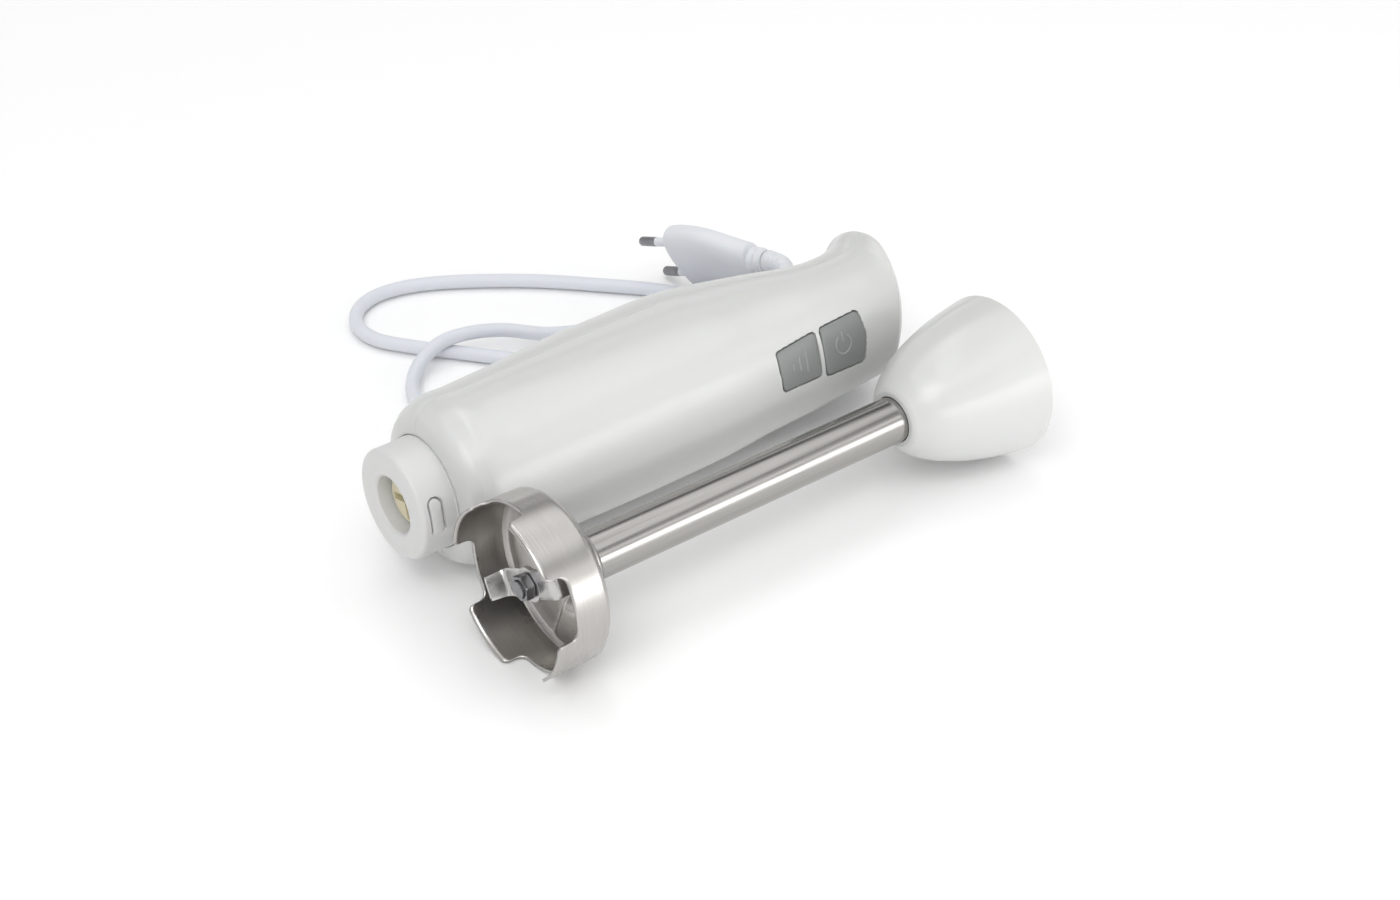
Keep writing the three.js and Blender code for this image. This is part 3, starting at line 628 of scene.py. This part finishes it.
def fineStops(spans, low, high, coarse, fine):
    # places from low to high, close together inside the spans
    stops, at = [low], low
    while at < high:
        near = any(a - 1e-9 <= at < b for a, b in spans)
        ahead = [a for a, b in spans if a > at]
        at = at + fine if near else min(at + coarse, high, *ahead)
        stops.append(min(at, high))
    return np.unique(np.array(stops))


def makeFrontHousing():
    # front half of the skin grid, pushed in along y where a smooth step of the distance to a
    # button's outline says so
    stops = np.concatenate([[14.0, 14.3, 14.8, 15.4, 16.2, 17.2, 18.4, 19.6],
                            fineStops([(145.4, 189.6)], 20.6, 200, 1.5, 0.38)])
    edge = math.pi / 2 + housing["parting"] / 30
    wide = fineStops([(math.pi - 0.34, math.pi + 0.52)], edge, 2 * math.pi - edge, 0.04, 0.0125)
    points = skinGrid(2 * math.pi - wide[::-1], stops)
    depth = 0
    for corners in (housing["speed"], housing["turbo"]):
        away = insideOf(buttonOutline(corners, 0), points[..., 0], points[..., 2])
        depth = np.maximum(depth, step(-away, -0.14, 0.16))
    points[..., 1] += np.where(points[..., 1] < -10, depth * housing["pocket"], 0)
    piece = gridPiece("frontHousing", toHandle(points), finishes["gloss"], around=False, sharp=50)
    return placed(walled(piece, housing["wall"]), "handle", ("front_shell",))


def makeRearHousing():
    # rear half of the skin grid, pushed in inside a circle round each screw
    near = [(x - 3.4, x + 3.4) for x, z in housing["screws"][::2]]
    stops = np.concatenate([[14.0, 14.3, 14.8, 15.4, 16.2, 17.2, 18.4, 19.6],
                            fineStops(near, 20.6, 201, 1.5, 0.4)])
    edge = math.pi / 2 - housing["parting"] / 30
    spans = [(-0.75, -0.36), (0.36, 0.75)]
    wide = fineStops(spans, -edge, edge, 0.04, 0.014)
    points = skinGrid(wide, stops)
    depth = 0
    for x, z in housing["screws"]:
        away = np.hypot(points[..., 0] - x, points[..., 2] - z) - housing["screwHole"]
        depth = np.maximum(depth, step(-away, -0.25, 0.25))
    points[..., 1] -= depth * housing["screwDeep"]
    piece = gridPiece("rearHousing", toHandle(points), finishes["gloss"], around=False, sharp=50)
    return placed(walled(piece, housing["wall"]), "handle", ("rear_shell",))


def makeButton(name, corners, body, node):
    # outline drawn in towards its middle, its top on the skin and its edge rolled over
    outline = buttonOutline(corners, housing["gap"])[::-1]
    middle = outline.mean(0)
    share = np.array([0, 0.2, 0.4, 0.6, 0.75, 0.86, 0.92, 0.955, 0.975, 0.99, 1, 1, 1, 0])
    drop = np.array([0, 0, 0, 0, 0, 0.01, 0.04, 0.1, 0.19, 0.34, 0.6, 1.0, 1.4, 1.4]) - 0.25
    place = middle + share[:, None, None] * (outline[None] - middle)
    x, z = place[..., 0], place[..., 1]
    y = frontSurface(x, z) + drop[:, None]
    piece = gridPiece(name, toHandle(np.stack([x, y, z], -1)), finishes["button"], sharp=60)
    return placed(piece, body, (node,))


def makeMark(name, body, line, width):
    # raised stroke along a line on a button, half round across
    line = curveThrough(np.column_stack([line, np.zeros(len(line))]), 0.25)[:, :2]
    tangent = unit(np.gradient(line, axis=0))
    side = np.stack([-tangent[:, 1], tangent[:, 0]], -1)
    u = np.linspace(-1, 1, 7)
    place = line[:, None] + side[:, None] * u[None, :, None] * width / 2
    lift = 0.34 + 0.08 * (1 - u ** 2) - 0.3 * (np.abs(u) > 0.99)
    y = frontSurface(place[..., 0], place[..., 1]) - lift[None]
    points = np.stack([place[..., 0], y, place[..., 1]], -1)
    piece = gridPiece(name, toHandle(points), finishes["mark"], around=False, sharp=60)
    return placed(walled(piece, 0.12), body)


makeFrontHousing()
makeRearHousing()
makeButton("speedButton", housing["speed"], "speed_key", "speed_button")
makeButton("turboButton", housing["turbo"], "turbo_key", "turbo_button")
# raised marks: an open ring with a bar on one button, three growing bars on the other
marks = {"ringMiddle": (177, 2.4), "ringRadius": 3.6, "ringWidth": 0.8, "bar": (3.2, 5, 7.2),
         "barsFrom": 152.6, "barsApart": 3.2, "barsMiddle": 2.2, "barsHalf": (1.6, 2.8, 4.0),
         "barsWidth": 0.9}
ringTurn = np.radians(np.linspace(120, 420, 16))[:, None]
ring = marks["ringMiddle"] + marks["ringRadius"] * np.hstack([np.cos(ringTurn), np.sin(ringTurn)])
makeMark("turboRing", "turbo_key", ring, marks["ringWidth"])
bar = np.array([[marks["ringMiddle"][0], z] for z in marks["bar"]])
makeMark("turboBar", "turbo_key", bar, marks["ringWidth"])
for i, half in enumerate(marks["barsHalf"]):
    at = marks["barsFrom"] + marks["barsApart"] * i
    bar = np.array([[at, marks["barsMiddle"] + end * half] for end in (-1, 0, 1)])
    makeMark(f"speedBar{i + 1}", "speed_key", bar, marks["barsWidth"])
print("housing and buttons")

# Nose collar, latch tongue and cord gland
nose = {"radius": 20.1, "bore": 10.4, "slitX": 6.1, "low": -6.9, "high": 5.9, "half": 2.9,
        "tongueHalf": 2.15, "depth": 2.0}


def latchOutline(half, low, high):
    # straight sides closed by a half circle at the top
    a = np.linspace(0, math.pi, 25)
    arch = np.stack([half * np.cos(a), high - half + half * np.sin(a)], -1)
    base = np.array([[-half, low], [half, low]])
    return np.vstack([base, arch]) + [nose["slitX"], 0]


def makeNoseRing():
    # lathe of a closed profile, its radius less a smooth step inside the latch's outline
    r = nose["radius"]
    rows = softProfile([(16.5, nose["bore"], 0), (0.9, nose["bore"], 0.3), (0, 11.3, 0.4),
                        (0, 19.1, 0.8), (1.0, r, 0.8), (2.6, r, 0)])
    rows = np.vstack([rows, [(x, r) for x in np.arange(2.8, 9.8, 0.22)],
                      [(11.5, r), (13.4, r), (13.6, r + 0.25), (14.2, r + 0.25), (17.4, r + 0.25),
                       (17.4, nose["bore"]), (16.5, nose["bore"])]])
    fine = np.linspace(math.pi - 0.42, math.pi + 0.42, 80)
    rest = np.linspace(math.pi + 0.42, 3 * math.pi - 0.42, 130)[1:-1]
    a = np.concatenate([fine, rest])[None, :]
    x, radius = rows[:, :1] + 0 * a, rows[:, 1:] + 0 * a
    away = insideOf(latchOutline(nose["half"], nose["low"], nose["high"]), x, radius * np.sin(a))
    facing = (np.cos(a) < 0) & (radius > 20)
    radius = radius - np.where(facing, step(-away, -0.12, 0.14) * nose["depth"], 0)
    points = np.stack([x, radius * np.cos(a), radius * np.sin(a)], -1)
    piece = gridPiece("noseRing", toHandle(points), finishes["satin"], sharp=45)
    return placed(piece, "handle", ("nose_collar",))


def makeLatch():
    # outline drawn in towards its middle and laid on the collar: y = -sqrt(r^2 - z^2) + drop
    outline = latchOutline(nose["tongueHalf"], nose["low"] - 0.25, nose["high"] - 0.75)[::-1]
    middle = np.array([nose["slitX"], -0.8])
    share = np.array([0, 0.3, 0.6, 0.85, 0.93, 0.97, 1, 1, 0])
    drop = np.array([0, 0, 0, 0, 0.03, 0.1, 0.28, 1.7, 1.7])
    place = middle + share[:, None, None] * (outline[None] - middle)
    y = -np.sqrt(nose["radius"] ** 2 - place[..., 1] ** 2) + drop[:, None]
    points = np.stack([place[..., 0], y, place[..., 1]], -1)
    piece = gridPiece("latchTongue", toHandle(points), finishes["satin"], sharp=60)
    return placed(piece, "latch", ("latch_tongue",))


gland = {"place": (213, 23.6, -14.6), "aim": (0.1, 0.99, 0.08), "reach": 25, "ribs": 6,
         "thick": 5.2, "taper": 1.55, "groove": 0.5}


def makeGland():
    # lathe of a cone with grooves cut round it: r = taper - groove where a slow wave is high
    x = np.linspace(4, gland["reach"], 150)
    taper = gland["thick"] - gland["taper"] * (x - 3) / (gland["reach"] - 3)
    wave = 0.5 + 0.5 * np.cos((x - 5) / (gland["reach"] - 6) * 2 * math.pi * gland["ribs"])
    ribbed = np.column_stack([x, taper - gland["groove"] * step(wave, 0.35, 0.6) * (x > 6.5)])
    root = [(-8, 0), (-8, gland["thick"]), (3.8, gland["thick"])]
    profile = np.vstack([root, ribbed, [(gland["reach"], 0)]])
    points = turned(profile, 40) @ frameOf(gland["aim"]).T + np.array(gland["place"])
    piece = gridPiece("cordGland", toHandle(points), finishes["plug"], sharp=45)
    return placed(piece, "handle", ("cord_gland",))


makeNoseRing()
makeLatch()
makeGland()
print("nose, latch and gland")

# Blending leg
leg = {"radius": 30.5, "sheet": 1.0, "wallEnd": 18, "notchMiddle": 73.1, "notchHalf": 11.7,
       "notchDeep": 7.5, "inCorner": 3.2, "outCorner": 2.0, "flute": 1.9, "crease": 0.5,
       "coneStart": 166.6, "coneEnd": 216.6, "tube": 8.5}


def rimEdge():
    # one eighth of the rim, from the middle of a notch to the middle of a lobe: arc place and how
    # far the edge stands back, two quarter circles joined by an upright side
    half, deep = leg["notchHalf"], leg["notchDeep"]
    inside, outside = leg["inCorner"], leg["outCorner"]
    t = np.linspace(0, math.pi / 2, 7)
    flat = np.linspace(0, half - inside, 8)[:-1]
    lobe = np.linspace(half + outside, leg["radius"] * math.pi / 4, 12)[1:]
    arc = np.concatenate([flat, half - inside + inside * np.sin(t), [half + 0.04],
                          half + 0.08 + outside * (1 - np.cos(t)), lobe])
    back = np.concatenate([np.full(7, deep), deep - inside * (1 - np.cos(t)),
                           [(deep - inside + outside) / 2], outside * (1 - np.sin(t)),
                           np.zeros(11)])
    a = arc / leg["radius"]
    quarterA = np.concatenate([-a[:0:-1], a[:-1]])
    quarterB = np.concatenate([back[:0:-1], back[:-1]])
    turn = math.radians(leg["notchMiddle"]) + np.arange(4)[:, None] * math.pi / 2
    return (turn + quarterA[None]).ravel(), np.tile(quarterB, 4)


def makeGuard():
    # upright wall from the notched rim, then a lathe of the bell with its x less a flute where
    # cos 4a is high
    angle, edge = rimEdge()
    radius, wallEnd = leg["radius"], leg["wallEnd"]
    bell = softProfile([(wallEnd, radius, 0), (19.3, 30.45, 0.5), (21.3, 28.9, 1.4),
                        (22.8, 25.6, 1.2), (26.4, 13.4, 1.4), (28, 11.3, 1.2), (31.5, 11.2, 0)],
                       steps=9)
    fine = [bell[:1]]
    for a, b in zip(bell[:-1], bell[1:]):
        count = max(2, int(np.linalg.norm(b - a) / 0.9) + 1)
        fine.append(a + (b - a) * np.linspace(0, 1, count)[1:, None])
    rows = np.vstack(fine)
    t = np.linspace(0, 1, 12)[:-1, None]
    rimX = edge[None] + t * (wallEnd - edge[None])
    x = np.vstack([rimX, rows[:, :1] + 0 * edge[None]])
    r = np.vstack([np.full(rimX.shape, radius), rows[:, 1:] + 0 * edge[None]])
    # pressed flutes between the lobes, deepest half way down the slope
    wave = 0.5 + 0.5 * np.cos(4 * (angle - math.radians(leg["notchMiddle"])))
    slope = step(r, 12.5, 17) * (1 - step(r, 24, 29)) * (x > wallEnd)
    crease = np.exp(-((wave - 0.5) / 0.12) ** 2)
    x = x - slope * (leg["flute"] * step(wave, 0.4, 0.6) - leg["crease"] * crease)[None]
    points = np.stack([x, r * np.cos(angle)[None], r * np.sin(angle)[None]], -1)
    piece = gridPiece("bladeGuard", toLeg(points), finishes["turned"], sharp=42)
    return placed(walled(piece, leg["sheet"]), "blending_leg", ("blade_guard",))


def makeTube():
    # lathe of a closed profile, as the cone, the socket and the hub below
    low, high, r = 27.8, leg["coneStart"] + 8, leg["tube"]
    profile = softProfile([(low, 7.2, 0), (low, r, 0.2), (high, r, 0.2), (high, 7.2, 0.2)], True)
    piece = gridPiece("legTube", toLeg(turned(profile, 128)), finishes["drawn"], sharp=40)
    return placed(piece, "blending_leg", ("leg_tube",))


def makeCone():
    # outer skin through the table of (x, r), then the thick inner lip
    start = leg["coneStart"]
    outer = [(0, 10.4), (0.5, 11.3), (2, 12.9), (5, 15.7), (10, 19), (18, 22.6), (28, 25.9),
             (38, 28.2), (50, 29.9)]
    x = np.concatenate([np.linspace(0.5, 10, 30), np.linspace(11, 49.2, 40)])
    skin = np.column_stack([x, throughPoints(outer, x)[:, 0]])
    lip = softProfile([(49.2, 29.8, 0), (50, 29.85, 0.35), (50, 27.6, 0.5), (38, 25.7, 1),
                       (30, 24, 0.5), (30, 8.9, 0.3), (2, 8.9, 0.4), (1, 8.58, 0.2), (0, 8.7, 0.1),
                       (0, 10.4, 0.3), (0.5, 11.3, 0)])
    profile = np.vstack([skin, lip[1:]])
    piece = gridPiece("legCone", toLeg(turned(profile + [start, 0], 144)), finishes["gloss"])
    return placed(piece, "blending_leg", ("leg_cone",))


def makeSocket():
    floor, mouth = leg["coneStart"] + 30.4, leg["coneEnd"] - 2
    profile = softProfile([(floor, 7, 0.2), (floor, 23.4, 0.4), (mouth - 8, 23.4, 1),
                           (mouth, 22.6, 0.5), (mouth, 20.6, 0.5), (floor + 2.4, 20.6, 0.6),
                           (floor + 2.4, 7, 0.3)], True)
    piece = gridPiece("legSocket", toLeg(turned(profile, 120)), finishes["satin"], sharp=50)
    return placed(piece, "blending_leg", ("leg_socket",))


cutter = {"thick": 1.7, "x": 10.3, "reach": 15.2, "bend": 2.6, "tip": 5.6,
          "turn": math.radians(-119), "nutFlat": 4.15}


def turnedLeg(points, angle):
    # turn about the leg's axis
    c, s = math.cos(angle), math.sin(angle)
    p = np.asarray(points, float)
    return np.stack([p[..., 0], p[..., 1] * c - p[..., 2] * s, p[..., 1] * s + p[..., 2] * c], -1)


def makeWing(name, side):
    # strip of sheet, a six-sided section carried along a line: flat from the hub, nearly a quarter
    # circle, then a straight tip along the axis; its leading edge is ground thin
    flat = np.column_stack([np.full(12, 0.0), np.linspace(3, cutter["reach"] - cutter["bend"], 12)])
    t = np.linspace(0, math.radians(78), 10)[1:]
    bend = np.column_stack([cutter["bend"] * (1 - np.cos(t)),
                            cutter["reach"] - cutter["bend"] + cutter["bend"] * np.sin(t)])
    away = np.array([math.sin(t[-1]), math.cos(t[-1])])
    tip = bend[-1] + away * np.linspace(0.5, cutter["tip"], 8)[:, None]
    line = np.vstack([flat, bend, tip]) * [-side, 1] + [cutter["x"], 0]
    tangent = unit(np.gradient(line, axis=0))
    normal = np.stack([-tangent[:, 1], tangent[:, 0]], -1)
    share = np.linspace(0, 1, len(line))
    leading = -5.4 + 0.8 * share ** 2
    trail = 5.2 - 1.6 * share
    thick = cutter["thick"] / 2
    corners = [(leading, -0.15 * thick), (leading + 1.8, -thick), (trail, -thick),
               (trail, thick), (leading + 1.8, thick), (leading, 0.15 * thick)]
    ring = [np.column_stack([line[:, 0] + normal[:, 0] * n, y, line[:, 1] + normal[:, 1] * n])
            for y, n in corners]
    points = np.stack(ring, 1) * [1, side, side]
    points = np.concatenate([points[:1].mean(1, keepdims=True).repeat(6, 1), points,
                             points[-1:].mean(1, keepdims=True).repeat(6, 1)])
    piece = gridPiece(name, toLeg(turnedLeg(points, cutter["turn"])), finishes["bladeSteel"],
                      sharp=25, bevel=0.12)
    flipOut(piece)
    return placed(piece, "blade_spindle")


def flipOut(piece):
    # turns every face of a closed mesh outwards
    work = bmesh.new()
    work.from_mesh(piece.data)
    bmesh.ops.recalc_face_normals(work, faces=work.faces)
    work.to_mesh(piece.data)
    work.free()


def makeHub():
    profile = softProfile([(9.4, 3.3, 0.1), (9.4, 6.2, 0.25), (11.2, 6.2, 0.25),
                           (11.2, 3.3, 0.1)], True)
    piece = gridPiece("bladeHub", toLeg(turned(profile, 64)), finishes["bladeSteel"], sharp=40)
    return placed(piece, "blade_spindle", ("blade",))


def makeNut():
    # lathe of a hexagon with its corners turned off: r is the smaller of the flat and a cone
    a = np.linspace(0, 2 * math.pi, 72, endpoint=False)[None, :]
    flat = cutter["nutFlat"] / np.cos((a + math.pi / 6) % (math.pi / 3) - math.pi / 6)
    rows = np.array([(9.1, 3.2), (6.2, 3.1), (5.8, 3.3), (5.8, 4.4), (6.3, 9), (8.7, 9),
                     (9.1, 4.5), (9.1, 3.2)])
    x, cone = rows[:, :1] + 0 * a, rows[:, 1:] + 0 * a
    r = np.minimum(cone, np.where(cone > 4, flat, 9))
    points = np.stack([x, r * np.cos(a), r * np.sin(a)], -1)
    piece = gridPiece("bladeNut", toLeg(turnedLeg(points, cutter["turn"])), finishes["ground"],
                      sharp=28)
    return placed(piece, "blade_spindle", ("blade_nut",))


makeGuard()
makeTube()
makeCone()
makeSocket()
makeHub()
makeWing("bladeWingFront", 1)
makeWing("bladeWingBack", -1)
makeNut()
print("blending leg")

# Parts that keep their own shape take a finish by what they are made of
slotFinish = {"white_plastic": "satin", "grey_button": "button", "steel": "turned",
              "ivory_plastic": "ivory", "black_plastic": "black", "copper": "copper",
              "dark_steel": "ground", "brass": "brass", "board": "board", "carbon": "carbon",
              "cord_pvc": "lead"}
for row in frame["record"]["subparts"]:
    node = frame["nodes"][row["node"]]
    finish = finishes[slotFinish[row["material_slot"]]]
    if node.material_slots:
        for spot in node.material_slots:
            spot.material = finish
    else:
        node.data.materials.append(finish)
print("inner parts finished")
